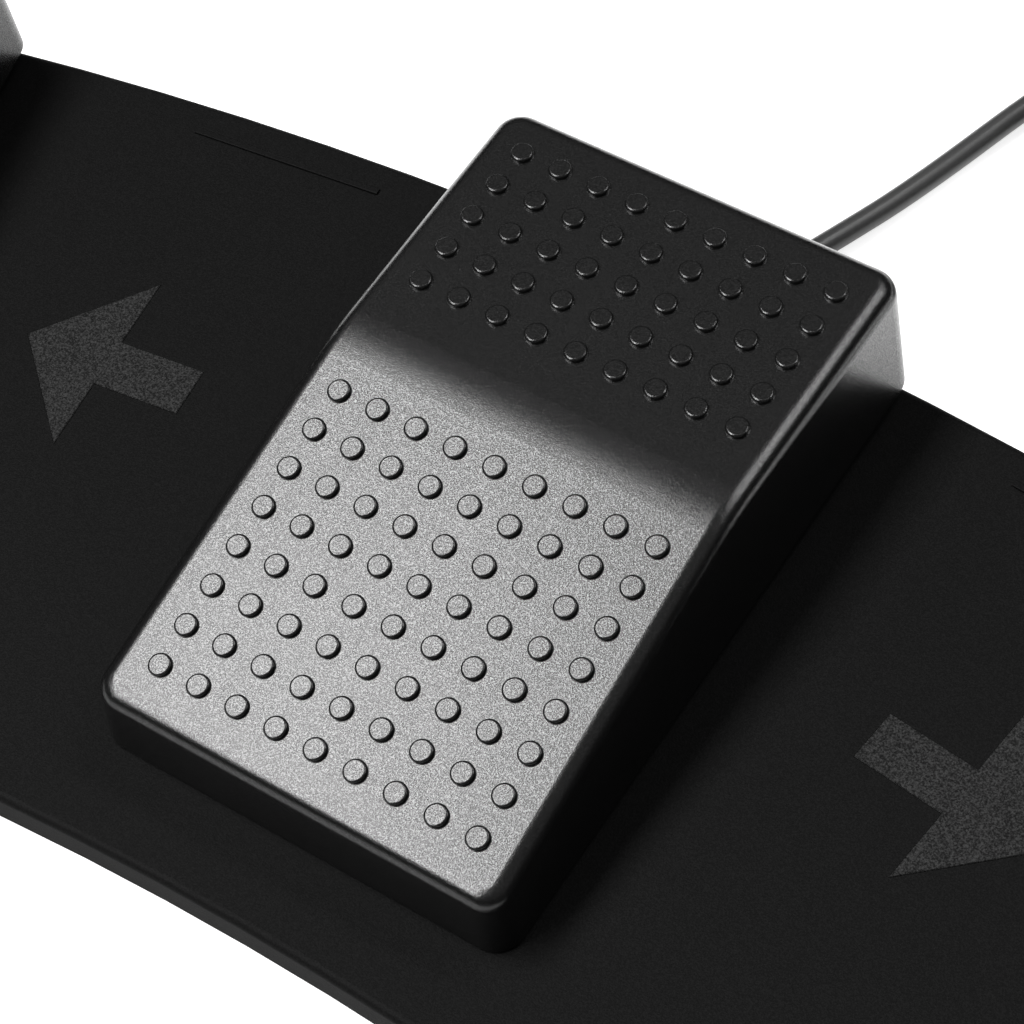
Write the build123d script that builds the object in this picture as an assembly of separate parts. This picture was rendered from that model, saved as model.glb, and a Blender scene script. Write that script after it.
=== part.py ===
from build123d import *
import math
import os

# Foot switch with three pedals on one arched base, USB lead at the rear.
# X runs to the right, Y to the rear, Z up; the rubber feet stand on Z = 0.
# All lengths are millimetres, all angles degrees.

# Pedal cover: a hollow wedge with a sloped front face and a level rear face
PEDAL_WIDTH = 73.6
PEDAL_LENGTH = 115.2
FRONT_HEIGHT = 13.0
REAR_HEIGHT = 26.0
BEND_FROM_FRONT = 66.0
BEND_RADIUS = 40.0
SIDE_DRAFT = 3.0
FRONT_DRAFT = 4.0
COVER_WALL = 2.2
COVER_TOP_WALL = 2.4
COVER_CORNER_RADIUS = 4.5
COVER_EDGE_RADIUS = 2.8
SKIRT_GAP = 0.5
TRAVEL_ANGLE = 1.0

# Round grip dots on the cover
DOT_PITCH = 7.0
DOT_DIAMETER = 3.7
DOT_HEIGHT = 0.7
DOT_EDGE_RADIUS = 0.4
DOT_BEND_MARGIN = 8.0
DOT_REAR_MARGIN = 8.1

# Base: an arch between two arcs about one centre
ARCH_REAR_RADIUS = 722.0
BASE_FRONT_LEDGE = 14.5
COVER_REAR_OVERHANG = 1.2
BASE_END_MARGIN = 21.0
BASE_CORNER_RADIUS = 12.0
BASE_HEIGHT = 7.0
BASE_WALL = 2.2
BASE_EDGE_RADIUS = 1.3
PEDAL_GAP = 81.8
PLATE_THICKNESS = 1.5
PLATE_CLEARANCE = 0.2
RIB_WIDTH = 1.6
RIB_DROP = 1.2
RIB_ANGLE = 5.4
FOOT_DIAMETER = 14.0
FOOT_HEIGHT = 1.0
FOOT_EDGE_INSET = 13.0

# Direction marks between the pedals, and the low bar behind each mark
MARK_WIDTH = 31.0
MARK_HEIGHT = 34.0
MARK_STROKE = 8.8
MARK_FROM_FRONT = 60.0
MARK_DEPTH = 0.8
MARK_PROUD = 0.2
MARK_CLEARANCE = 0.05
MARK_EDGE = 0.12
BAR_LENGTH = 35.4
BAR_WIDTH = 1.2
BAR_HEIGHT = 0.4
BAR_REAR_INSET = 6.3
BAR_SHIFT = 6.7

# Tray: the fixed lower housing inside each cover
TRAY_FLOOR = 2.0
TRAY_WALL = 1.8
TRAY_RIM = 8.5
TRAY_CLEARANCE = 1.0
TRAY_BOSS_RADIUS = 3.2
TRAY_BOSS_HEIGHT = 5.5
TRAY_BOSS_FRONT = 24.0
TRAY_BOSS_SIDE_GAP = 0.5
TRAY_BOSS_REAR_GAP = 2.1

# Hinge: a steel pin through the tray's lugs and the cover's ears
PIN_DIAMETER = 3.0
PIN_SEAT_CLEARANCE = 0.02
PIN_RUNNING_CLEARANCE = 0.06
EAR_RADIUS = 3.5
EAR_THICKNESS = 4.0
LUG_THICKNESS = 4.0
LUG_RADIUS = 3.2
HINGE_CLEARANCE = 0.6

# Return spring between the tray's floor and the cover's ceiling
SPRING_REAR_INSET = 27.3
SPRING_DIAMETER = 11.0
SPRING_WIRE = 1.1
SPRING_TURNS = 6
SPRING_SEAT_GAP = 0.1
SPRING_SIDE_GAP = 0.5
SPRING_POST_HEIGHT = 4.0
SPRING_RING_WALL = 1.5

# Micro switch under each cover
SWITCH_FROM_HINGE = 30.0
SWITCH_LENGTH = 20.0
SWITCH_THICKNESS = 6.4
SWITCH_HEIGHT = 10.2
SWITCH_EDGE_RADIUS = 0.5
SWITCH_HOLE_SPACING = 9.5
SWITCH_HOLE_HEIGHT = 3.0
SWITCH_SCREW_DIAMETER = 2.0
SWITCH_SCREW_HEAD = 1.4
SWITCH_BRACKET = 3.0
SWITCH_GAP = 0.1
PLUNGER_DIAMETER = 2.6
PLUNGER_LENGTH = 4.2
PLUNGER_STANDS_OUT = 1.6
PLUNGER_CLEARANCE = 0.06
ACTUATOR_DIAMETER = 3.6
ACTUATOR_GAP = 0.2
TERMINAL_LENGTH = 4.4
TERMINAL_WIDTH = 3.0
TERMINAL_THICKNESS = 0.5
TERMINAL_SPACING = 6.4

# Rubber stops that the cover's legs meet at full travel
STOP_REAR_INSET = 16.3
STOP_X = 20.0
STOP_DIAMETER = 8.0
STOP_HEIGHT = 2.0
STOP_POST_HEIGHT = 4.0
STOP_GAP = 0.3
LEG_DIAMETER = 6.0

# Barbs inside the cover's rear wall that hold it down at rest
BARB_X = 18.0
BARB_WIDTH = 8.0
BARB_HEIGHT = 1.2
BARB_GAP = 0.3

# Window in the base below each tray
WINDOW_WIDTH = 26.0
WINDOW_LENGTH = 34.0

# Controller board below the middle pedal
BOARD_WIDTH = 44.0
BOARD_LENGTH = 30.0
BOARD_THICKNESS = 1.0
BOARD_LIFT = 0.5
BOARD_POST_RADIUS = 2.6
BOARD_SCREW_INSET = 4.0
CHIP_SIZE = 7.0
CHIP_HEIGHT = 1.0
SMALL_CHIP_LENGTH = 4.4
SMALL_CHIP_WIDTH = 2.2
HEADER_WIDTH = 6.0
HEADER_DEPTH = 4.0
HEADER_HEIGHT = 2.4

# Inner leads from the switches to the board
LEAD_DIAMETER = 1.6
LEAD_LIFT = 0.1
LEAD_END_RUN = 16.0
LEAD_ROUTE_SHARES = [(0.985, 0.0), (0.9, 0.12), (0.76, 0.36), (0.6, 0.66), (0.44, 0.9)]

# Screws
SCREW_DIAMETER = 2.6
SCREW_HEAD_DIAMETER = 5.0
SCREW_HEAD_HEIGHT = 1.4
SCREW_HOLE_GAP = 0.2
SCREW_SEAT_GAP = 0.02
SCREW_END_GAP = 0.5
BASE_BOSS_RADIUS = 3.6
BASE_SCREW_INSET = 11.0
BASE_SCREW_END_INSET = 11.0

# Strain relief and USB lead
CABLE_DIAMETER = 3.9
CABLE_EXIT_X = 6.4
CABLE_EXIT_HEIGHT = 4.0
RELIEF_LENGTH = 5.0
RELIEF_ROOT_DIAMETER = 6.2
RELIEF_TIP_DIAMETER = 4.9
RELIEF_NECK_DIAMETER = 5.0
RELIEF_COLLAR_DIAMETER = 7.0
RELIEF_COLLAR = 1.4
RELIEF_FLANGE_WIDTH = 8.0
RELIEF_FLANGE_HEIGHT = 3.2
RELIEF_FLANGE_DEPTH = 1.6
FLOOR_GAP = 0.05
ARC_RUN_SHARE = 0.45

# Put-away coil of the lead: four layers that spiral in and out, on the strap that ties them
COIL_INNER_RADIUS = 17.4
COIL_STEP = 4.9
COIL_ENTRY_ANGLE = 150.0
COIL_QUARTERS = (10, 10, 10, 9)
COIL_CLIMB_QUARTERS = 2
COIL_CENTRE_FROM_TIP = (53.6, 63.7)
COIL_ENTRY_RUN = 14.0
COIL_EXIT_RUN = 12.0

# Strap that ties the coil
TIE_WIDTH = 5.0
TIE_THICKNESS = 0.6
TIE_SIDE_GAP = 0.5
TIE_SEAT_GAP = 0.2
TIE_ANGLE = 250.0

# USB plug: overmould, metal shell, tongue and contacts
PLUG_WIDTH = 15.5
PLUG_HEIGHT = 8.0
PLUG_LENGTH = 21.0
PLUG_TAIL_LENGTH = 8.0
PLUG_EDGE_RADIUS = 1.5
SHELL_WIDTH = 12.0
SHELL_HEIGHT = 4.5
SHELL_LENGTH = 12.0
SHELL_WALL = 0.3
SHELL_SEAT = 3.0
TONGUE_HEIGHT = 1.8
TONGUE_GAP = 0.1
CONTACT_WIDTH = 1.0
CONTACT_THICKNESS = 0.2
CONTACT_PITCH = 2.3
CONTACT_COUNT = 4

# One overrun serves all cuts
OVERRUN = 1.0

# Worked-out sizes of the base
PEDAL_RADIUS = ARCH_REAR_RADIUS + COVER_REAR_OVERHANG - PEDAL_LENGTH
ARCH_FRONT_RADIUS = PEDAL_RADIUS - BASE_FRONT_LEDGE
PEDAL_MIDDLE_RADIUS = PEDAL_RADIUS + PEDAL_LENGTH / 2
PEDAL_ANGLE = math.degrees((PEDAL_WIDTH + PEDAL_GAP) / PEDAL_MIDDLE_RADIUS)
END_ANGLE = math.degrees((PEDAL_WIDTH / 2 + BASE_END_MARGIN) / PEDAL_MIDDLE_RADIUS)
ARCH_HALF_ANGLE = PEDAL_ANGLE + END_ANGLE
CORNER_CENTRE_RADIUS = ARCH_FRONT_RADIUS + BASE_CORNER_RADIUS
CORNER_ANGLE = ARCH_HALF_ANGLE - math.degrees(math.asin(BASE_CORNER_RADIUS / CORNER_CENTRE_RADIUS))
ARCH_LOW_Y = CORNER_CENTRE_RADIUS * math.cos(math.radians(CORNER_ANGLE)) - BASE_CORNER_RADIUS
ARCH_Y = -(ARCH_LOW_Y + ARCH_REAR_RADIUS + COVER_REAR_OVERHANG) / 2
BASE_TOP = FOOT_HEIGHT + BASE_HEIGHT
BASE_CEILING = BASE_TOP - BASE_WALL
PLATE_TOP = FOOT_HEIGHT + PLATE_THICKNESS

# Worked-out sizes of one pedal, in its own frame: front foot edge at Y = 0, base top at Z = 0
SLOPE = math.degrees(math.atan((REAR_HEIGHT - FRONT_HEIGHT) / BEND_FROM_FRONT))
SLOPE_RISE = (REAR_HEIGHT - FRONT_HEIGHT) / BEND_FROM_FRONT
TRAVEL_RISE = math.tan(math.radians(TRAVEL_ANGLE))
SIDE_LEAN = math.tan(math.radians(SIDE_DRAFT))
FRONT_LEAN = math.tan(math.radians(FRONT_DRAFT))
TRAY_HALF_WIDTH = PEDAL_WIDTH / 2 - TRAY_RIM * SIDE_LEAN - COVER_WALL - TRAY_CLEARANCE
TRAY_FRONT = COVER_WALL + TRAY_RIM * FRONT_LEAN + TRAY_CLEARANCE
TRAY_REAR = PEDAL_LENGTH - COVER_WALL - TRAY_CLEARANCE
HINGE_Y = TRAY_FRONT + TRAY_WALL + EAR_RADIUS + HINGE_CLEARANCE
HINGE_Z = TRAY_FLOOR + EAR_RADIUS + HINGE_CLEARANCE
LUG_X = TRAY_HALF_WIDTH - LUG_THICKNESS / 2
EAR_X = TRAY_HALF_WIDTH - LUG_THICKNESS - HINGE_CLEARANCE - EAR_THICKNESS / 2
SPRING_Y = PEDAL_LENGTH - SPRING_REAR_INSET
SWITCH_Y = HINGE_Y + SWITCH_FROM_HINGE
SWITCH_TOP = TRAY_FLOOR + SWITCH_HEIGHT
PLUNGER_TOP = SWITCH_TOP + PLUNGER_STANDS_OUT
PLUNGER_TRAVEL = SWITCH_FROM_HINGE * math.radians(TRAVEL_ANGLE)
STOP_Y = PEDAL_LENGTH - STOP_REAR_INSET
STOP_TOP = TRAY_FLOOR + STOP_POST_HEIGHT + STOP_HEIGHT
LEG_BOTTOM = STOP_TOP + (STOP_Y - HINGE_Y + LEG_DIAMETER / 2) * TRAVEL_RISE + STOP_GAP
REAR_CEILING = REAR_HEIGHT - COVER_TOP_WALL
REAR_DROP = (PEDAL_LENGTH - HINGE_Y) * TRAVEL_RISE
BARB_BOTTOM = TRAY_FLOOR + REAR_DROP + BARB_GAP
BARB_TOP = BARB_BOTTOM + BARB_HEIGHT

MIDDLE_FRONT_Y = ARCH_Y + PEDAL_RADIUS
REAR_WALL_Y = ARCH_Y + math.sqrt(ARCH_REAR_RADIUS ** 2 - CABLE_EXIT_X ** 2)
RELIEF_TIP = (CABLE_EXIT_X, REAR_WALL_Y + RELIEF_LENGTH, CABLE_EXIT_HEIGHT)
CABLE_FLOOR_Z = CABLE_DIAMETER / 2 + FLOOR_GAP
COIL_FLOOR_Z = CABLE_FLOOR_Z + TIE_THICKNESS + TIE_SEAT_GAP

# The controller board lies midway between the middle switch's blades and the strain relief
INNER_START_Y = REAR_WALL_Y - BASE_WALL - RELIEF_FLANGE_DEPTH
BOARD_Y = (MIDDLE_FRONT_Y + SWITCH_Y + INNER_START_Y) / 2
BOARD_Z = PLATE_TOP + BOARD_LIFT
BOARD_FRONT_Y = BOARD_Y - BOARD_LENGTH / 2
BOARD_REAR_Y = BOARD_Y + BOARD_LENGTH / 2
BOARD_FROM_FRONT = BOARD_Y - MIDDLE_FRONT_Y
LEAD_Z = PLATE_TOP + LEAD_DIAMETER / 2 + LEAD_LIFT

# The tray's bosses stand clear of the board and of its connectors
TRAY_BOSS_X = (BOARD_WIDTH + SCREW_HEAD_DIAMETER) / 2 + TRAY_BOSS_SIDE_GAP
TRAY_BOSS_REAR = BOARD_FROM_FRONT + (HEADER_WIDTH + SCREW_HEAD_DIAMETER) / 2 + TRAY_BOSS_REAR_GAP

nodes = {}


def block(width, length, height, x=0.0, y=0.0, z=0.0):
    """A box centred on x and y that stands on z."""
    box = Box(width, length, height, align=(Align.CENTER, Align.CENTER, Align.MIN))
    return Pos(x, y, z) * box


def post(radius, height, x=0.0, y=0.0, z=0.0):
    """A round post that stands on z."""
    cylinder = Cylinder(radius, height, align=(Align.CENTER, Align.CENTER, Align.MIN))
    return Pos(x, y, z) * cylinder


def cross_rod(radius, length, x, y, z):
    """A round rod along X, centred on x."""
    return Pos(x, y, z) * Rot(0, 90, 0) * Cylinder(radius, length)


def on_arch(angle, radius, z=0.0):
    """A place on the arch: angle to the right of the middle, radius from the arch's centre."""
    return Pos(0, ARCH_Y, 0) * Rot(0, 0, -angle) * Pos(0, radius, z)


def side_profile(points, half_width):
    """A solid with the given outline seen from the side, points as (y, z)."""
    outline = Polyline(*[(0, y, z) for y, z in points], close=True)
    return extrude(make_face(outline), amount=half_width, dir=(1, 0, 0), both=True)


def front_profile(points, length):
    """A solid with the given outline seen from the front, points as (x, z)."""
    outline = Polyline(*[(x, 0, z) for x, z in points], close=True)
    return extrude(make_face(outline), amount=length, dir=(0, 1, 0), both=True)


def screw(diameter, length, head_diameter, head_height):
    """A screw that points up: its head's bottom at Z = 0."""
    head = post(head_diameter / 2, head_height)
    rim = head.edges().sort_by(Axis.Z)[0]
    head = chamfer(rim, head_height / 4)
    return head + post(diameter / 2, length + head_height)


def build(name, shape):
    """Keep one node: a solid, or a group of separate solids."""
    solids = list(shape.solids())
    nodes[name] = solids[0] if len(solids) == 1 else Compound(children=solids)


# Pedal cover

def is_upright(edge):
    """Whether an edge runs more up than along."""
    way = edge % 0
    return abs(way.Z) > abs(way.Y) + abs(way.X)


def wedge(wall, top_wall, corner_radius):
    """The cover's outline as a solid, drawn in by the walls."""
    drop = top_wall / math.cos(math.radians(SLOPE))
    front_z = FRONT_HEIGHT - drop
    front_y = (wall + FRONT_LEAN * front_z) / (1 - FRONT_LEAN * SLOPE_RISE)
    rear_z = REAR_HEIGHT - top_wall
    bend_y = (rear_z - front_z) / SLOPE_RISE
    rear_y = PEDAL_LENGTH - wall
    side = [
        (wall, 0),
        (front_y, front_z + front_y * SLOPE_RISE),
        (bend_y, rear_z),
        (rear_y, rear_z),
        (rear_y, 0),
    ]
    foot = PEDAL_WIDTH / 2 - wall
    head = foot - REAR_HEIGHT * SIDE_LEAN
    front = [(-foot, 0), (foot, 0), (head, REAR_HEIGHT), (-head, REAR_HEIGHT)]
    solid = side_profile(side, PEDAL_WIDTH) & front_profile(front, PEDAL_LENGTH + PEDAL_WIDTH)
    bend = solid.edges().filter_by(Axis.X).sort_by_distance((0, bend_y, rear_z))[0]
    solid = fillet(bend, BEND_RADIUS)
    corners = [edge for edge in solid.edges() if is_upright(edge)]
    return fillet(corners, corner_radius)


def rounded_top(solid):
    """Round the edge that runs round the cover's top faces."""
    top_faces = [face for face in solid.faces() if face.normal_at().Z > math.cos(math.radians(2 * SLOPE))]
    top_edges = [edge for face in top_faces for edge in face.edges()]
    rim = []
    for edge in top_edges:
        shared = [other for other in top_edges if (other @ 0.5 - edge @ 0.5).length < COVER_EDGE_RADIUS / 10]
        if len(shared) == 1:
            rim.append(edge)
    return fillet(rim, COVER_EDGE_RADIUS)


def grip_dots():
    """All dots of one cover, as separate small solids on the two top faces."""
    pin = post(DOT_DIAMETER / 2, DOT_HEIGHT + COVER_TOP_WALL / 2, z=-COVER_TOP_WALL / 2)
    dot = fillet(pin.edges().sort_by(Axis.Z)[-1], DOT_EDGE_RADIUS)
    flat_half = PEDAL_WIDTH / 2 - REAR_HEIGHT * SIDE_LEAN - COVER_EDGE_RADIUS - DOT_DIAMETER / 2
    columns = 2 * math.floor(flat_half / DOT_PITCH) + 1
    slope_length = BEND_FROM_FRONT / math.cos(math.radians(SLOPE))
    front_rows = math.floor((slope_length - 2 * DOT_BEND_MARGIN) / DOT_PITCH) + 1
    rear_length = PEDAL_LENGTH - BEND_FROM_FRONT - DOT_REAR_MARGIN - DOT_BEND_MARGIN
    rear_rows = math.floor(rear_length / DOT_PITCH) + 1
    slope_place = Pos(0, 0, FRONT_HEIGHT) * Rot(SLOPE, 0, 0)
    first_row = (slope_length - (front_rows - 1) * DOT_PITCH) / 2
    dots = []
    for column in range(columns):
        x = (column - (columns - 1) / 2) * DOT_PITCH
        for row in range(front_rows):
            dots.append(slope_place * Pos(x, first_row + row * DOT_PITCH, 0) * dot)
        for row in range(rear_rows):
            y = PEDAL_LENGTH - DOT_REAR_MARGIN - row * DOT_PITCH
            dots.append(Pos(x, y, REAR_HEIGHT) * dot)
    return dots


def cover_fittings():
    """Ears, spring ring, switch actuator, stop legs and barbs inside the cover."""
    tall = REAR_HEIGHT
    fittings = []
    for side in (-1, 1):
        ear = block(EAR_THICKNESS, 2 * EAR_RADIUS, tall, side * EAR_X, HINGE_Y, HINGE_Z)
        ear += cross_rod(EAR_RADIUS, EAR_THICKNESS, side * EAR_X, HINGE_Y, HINGE_Z)
        bore = PIN_DIAMETER / 2 + PIN_RUNNING_CLEARANCE
        fittings.append(ear - cross_rod(bore, PEDAL_WIDTH, 0, HINGE_Y, HINGE_Z))
        fittings.append(post(LEG_DIAMETER / 2, tall, side * STOP_X, STOP_Y, LEG_BOTTOM))
        barb_depth = TRAY_CLEARANCE + TRAY_WALL
        barb_y = TRAY_REAR - TRAY_WALL + (barb_depth + OVERRUN) / 2
        barb_length = barb_depth + OVERRUN
        fittings.append(block(BARB_WIDTH, barb_length, BARB_HEIGHT, side * BARB_X, barb_y, BARB_BOTTOM))
    ring_bore = SPRING_DIAMETER / 2 + SPRING_SIDE_GAP
    ring_z = REAR_CEILING - SPRING_POST_HEIGHT
    ring = post(ring_bore + SPRING_RING_WALL, tall, 0, SPRING_Y, ring_z)
    fittings.append(ring - post(ring_bore, tall + OVERRUN, 0, SPRING_Y, ring_z - OVERRUN))
    actuator_z = PLUNGER_TOP + ACTUATOR_GAP
    fittings.append(post(ACTUATOR_DIAMETER / 2, tall, 0, SWITCH_Y, actuator_z))
    return fittings


def pedal_cover():
    """The treadle that the foot presses."""
    outer = rounded_top(wedge(0, 0, COVER_CORNER_RADIUS))
    inner = wedge(COVER_WALL, COVER_TOP_WALL, COVER_CORNER_RADIUS - COVER_WALL)
    skirt = [
        (-OVERRUN, -OVERRUN),
        (PEDAL_LENGTH + OVERRUN, -OVERRUN),
        (PEDAL_LENGTH + OVERRUN, SKIRT_GAP + (PEDAL_LENGTH + OVERRUN) * TRAVEL_RISE),
        (-OVERRUN, SKIRT_GAP - OVERRUN * TRAVEL_RISE),
    ]
    cover = outer - inner
    for fitting in cover_fittings():
        cover += fitting & inner
    cover -= side_profile(skirt, PEDAL_WIDTH)
    return cover.fuse(*grip_dots())


# Tray and what it carries

def pedal_tray():
    """The fixed lower housing: floor, wall, lugs, posts and the switch's bracket."""
    width = 2 * TRAY_HALF_WIDTH
    length = TRAY_REAR - TRAY_FRONT
    middle = (TRAY_REAR + TRAY_FRONT) / 2
    tray = block(width, length, TRAY_RIM, 0, middle)
    uprights = tray.edges().filter_by(Axis.Z)
    tray = fillet(uprights, COVER_CORNER_RADIUS - COVER_WALL)
    hollow = block(width - 2 * TRAY_WALL, length - 2 * TRAY_WALL, TRAY_RIM, 0, middle, TRAY_FLOOR)
    tray -= hollow
    for side in (-1, 1):
        lug = block(LUG_THICKNESS, 2 * LUG_RADIUS, HINGE_Z, side * LUG_X, HINGE_Y)
        lug += cross_rod(LUG_RADIUS, LUG_THICKNESS, side * LUG_X, HINGE_Y, HINGE_Z)
        tray += lug
        stop_z = TRAY_FLOOR - OVERRUN
        tray += post(STOP_DIAMETER / 2, STOP_POST_HEIGHT + OVERRUN, side * STOP_X, STOP_Y, stop_z)
        slot_height = BARB_TOP + BARB_GAP - TRAY_FLOOR
        slot_width = BARB_WIDTH + 2 * HINGE_CLEARANCE
        tray -= block(slot_width, 3 * TRAY_WALL, slot_height, side * BARB_X, TRAY_REAR, TRAY_FLOOR)
        for y in (TRAY_BOSS_FRONT, TRAY_BOSS_REAR):
            boss_height = TRAY_BOSS_HEIGHT + OVERRUN
            tray += post(TRAY_BOSS_RADIUS, boss_height, side * TRAY_BOSS_X, y, TRAY_FLOOR - OVERRUN)
            pilot = SCREW_DIAMETER / 2 + SCREW_SEAT_GAP
            tray -= post(pilot, TRAY_BOSS_HEIGHT + TRAY_FLOOR - SCREW_END_GAP, side * TRAY_BOSS_X, y)
    spring_post = (SPRING_DIAMETER / 2 - SPRING_WIRE) - SPRING_SIDE_GAP
    tray += post(spring_post, SPRING_POST_HEIGHT + OVERRUN, 0, SPRING_Y, TRAY_FLOOR - OVERRUN)
    tray -= cross_rod(PIN_DIAMETER / 2 + PIN_SEAT_CLEARANCE, width + OVERRUN, 0, HINGE_Y, HINGE_Z)
    slot = SWITCH_THICKNESS - 2 * SWITCH_EDGE_RADIUS - 2 * SWITCH_GAP
    tray -= block(slot, SWITCH_LENGTH - SWITCH_BRACKET, 2 * TRAY_FLOOR, 0, SWITCH_Y, -TRAY_FLOOR / 2)
    bracket_x = SWITCH_THICKNESS / 2 + SWITCH_GAP + SWITCH_BRACKET / 2
    bracket_height = SWITCH_HOLE_HEIGHT + 2 * SWITCH_SCREW_DIAMETER
    bracket = block(SWITCH_BRACKET, SWITCH_LENGTH, bracket_height, bracket_x, SWITCH_Y, TRAY_FLOOR)
    tray += bracket
    for side in (-1, 1):
        y = SWITCH_Y + side * SWITCH_HOLE_SPACING / 2
        hole_z = TRAY_FLOOR + SWITCH_HOLE_HEIGHT
        hole = SWITCH_SCREW_DIAMETER / 2 + SCREW_SEAT_GAP
        tray -= cross_rod(hole, SWITCH_BRACKET + OVERRUN, bracket_x, y, hole_z)
    return tray


def hinge_pin():
    """The steel pin, as long as the tray is wide."""
    pin = cross_rod(PIN_DIAMETER / 2, 2 * TRAY_HALF_WIDTH, 0, HINGE_Y, HINGE_Z)
    return chamfer(pin.edges().filter_by(GeomType.CIRCLE), PIN_DIAMETER / 10)


def micro_switch():
    """The switch's body, with a bore for its plunger and two screw holes."""
    body = block(SWITCH_THICKNESS, SWITCH_LENGTH, SWITCH_HEIGHT, 0, SWITCH_Y, TRAY_FLOOR)
    body = fillet(body.edges().filter_by(Axis.Z), SWITCH_EDGE_RADIUS)
    inside = PLUNGER_LENGTH - PLUNGER_STANDS_OUT
    bore_depth = inside + PLUNGER_TRAVEL + SCREW_END_GAP
    bore = PLUNGER_DIAMETER / 2 + PLUNGER_CLEARANCE
    body -= post(bore, bore_depth + OVERRUN, 0, SWITCH_Y, SWITCH_TOP - bore_depth)
    for side in (-1, 1):
        y = SWITCH_Y + side * SWITCH_HOLE_SPACING / 2
        hole = SWITCH_SCREW_DIAMETER / 2 + SCREW_SEAT_GAP
        body -= cross_rod(hole, SWITCH_THICKNESS + OVERRUN, 0, y, TRAY_FLOOR + SWITCH_HOLE_HEIGHT)
    return body


def switch_plunger():
    """The button that the cover's actuator pushes."""
    plunger = post(PLUNGER_DIAMETER / 2, PLUNGER_LENGTH, 0, SWITCH_Y, PLUNGER_TOP - PLUNGER_LENGTH)
    return fillet(plunger.edges().sort_by(Axis.Z)[-1], PLUNGER_DIAMETER / 8)


def switch_screws():
    """Two screws that hold the switch to its bracket."""
    length = SWITCH_THICKNESS + SWITCH_BRACKET + SWITCH_GAP
    one = screw(SWITCH_SCREW_DIAMETER, length, 2 * SWITCH_SCREW_DIAMETER, SWITCH_SCREW_HEAD)
    head_x = -SWITCH_THICKNESS / 2 - SWITCH_SCREW_HEAD - SCREW_SEAT_GAP
    pair = []
    for side in (-1, 1):
        y = SWITCH_Y + side * SWITCH_HOLE_SPACING / 2
        pair.append(Pos(head_x, y, TRAY_FLOOR + SWITCH_HOLE_HEIGHT) * Rot(0, 90, 0) * one)
    return Compound(children=pair)


def switch_terminals():
    """Three blades below the switch."""
    blades = []
    for step in (-1, 0, 1):
        y = SWITCH_Y + step * TERMINAL_SPACING
        z = TRAY_FLOOR - TERMINAL_LENGTH
        blades.append(block(TERMINAL_THICKNESS, TERMINAL_WIDTH, TERMINAL_LENGTH, 0, y, z))
    return Compound(children=blades)


def stop_pads():
    """Two rubber pads on the tray's posts."""
    pads = []
    for side in (-1, 1):
        pad = post(STOP_DIAMETER / 2, STOP_HEIGHT, side * STOP_X, STOP_Y, STOP_TOP - STOP_HEIGHT)
        pads.append(fillet(pad.edges().sort_by(Axis.Z)[-1], STOP_HEIGHT / 4))
    return Compound(children=pads)


def tray_screws():
    """Four screws from inside the base up into the tray."""
    reach = BASE_WALL + TRAY_FLOOR + TRAY_BOSS_HEIGHT - 2 * SCREW_END_GAP
    one = screw(SCREW_DIAMETER, reach, SCREW_HEAD_DIAMETER, SCREW_HEAD_HEIGHT)
    z = -BASE_WALL - SCREW_HEAD_HEIGHT - SCREW_SEAT_GAP
    group = []
    for x in (-TRAY_BOSS_X, TRAY_BOSS_X):
        for y in (TRAY_BOSS_FRONT, TRAY_BOSS_REAR):
            group.append(Pos(x, y, z) * one)
    return Compound(children=group)


# Wound wire and lead

def biarc(start, start_way, end, end_way):
    """Two arcs from start to end that leave and arrive along the given directions."""
    chord = end - start
    ways = start_way + end_way
    spread = 2 * (1 - start_way.dot(end_way))
    along = chord.dot(ways)
    reach = (math.sqrt(along ** 2 + spread * chord.dot(chord)) - along) / spread
    joint = (start + end + (start_way - end_way) * reach) / 2
    first = TangentArc(start, joint, tangent=start_way)
    last = TangentArc(joint, end, tangent=first % 1)
    return [first, last]


def winding(radii, heights, first_angle, turn_way):
    """Edges through one point a quarter turn, at the given radii and heights."""
    count = len(radii)
    points = []
    ways = []
    for index in range(count):
        angle = math.radians(first_angle + turn_way * 90 * index)
        before = max(index - 1, 0)
        after = min(index + 1, count - 1)
        steps = after - before
        swing = math.pi / 2 * turn_way
        radial = (radii[after] - radii[before]) / steps
        climb = (heights[after] - heights[before]) / steps
        out = Vector(math.cos(angle), math.sin(angle), 0)
        round_way = Vector(-math.sin(angle), math.cos(angle), 0)
        points.append(out * radii[index] + Vector(0, 0, heights[index]))
        ways.append((out * radial + round_way * radii[index] * swing + Vector(0, 0, climb)).normalized())
    edges = []
    for index in range(count - 1):
        edges += biarc(points[index], ways[index], points[index + 1], ways[index + 1])
    return edges, points, ways


def least_self_gap(edges, diameter, sample):
    """Least gap of a wound tube to itself, on points along its middle line."""
    points = []
    for edge in edges:
        parts = max(2, math.ceil(edge.length / sample))
        points += [edge @ (part / parts) for part in range(parts)]
    skip = math.ceil(math.pi * diameter / sample)
    least = math.inf
    for index, point in enumerate(points):
        for other in points[index + skip:]:
            least = min(least, (other - point).length)
    return least - diameter


def tube(edges, diameter):
    """A round tube along joined edges."""
    path = Wire(edges)
    start = path @ 0
    section = Plane(origin=start, z_dir=path % 0) * Circle(diameter / 2)
    return sweep(section, path=path)


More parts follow.
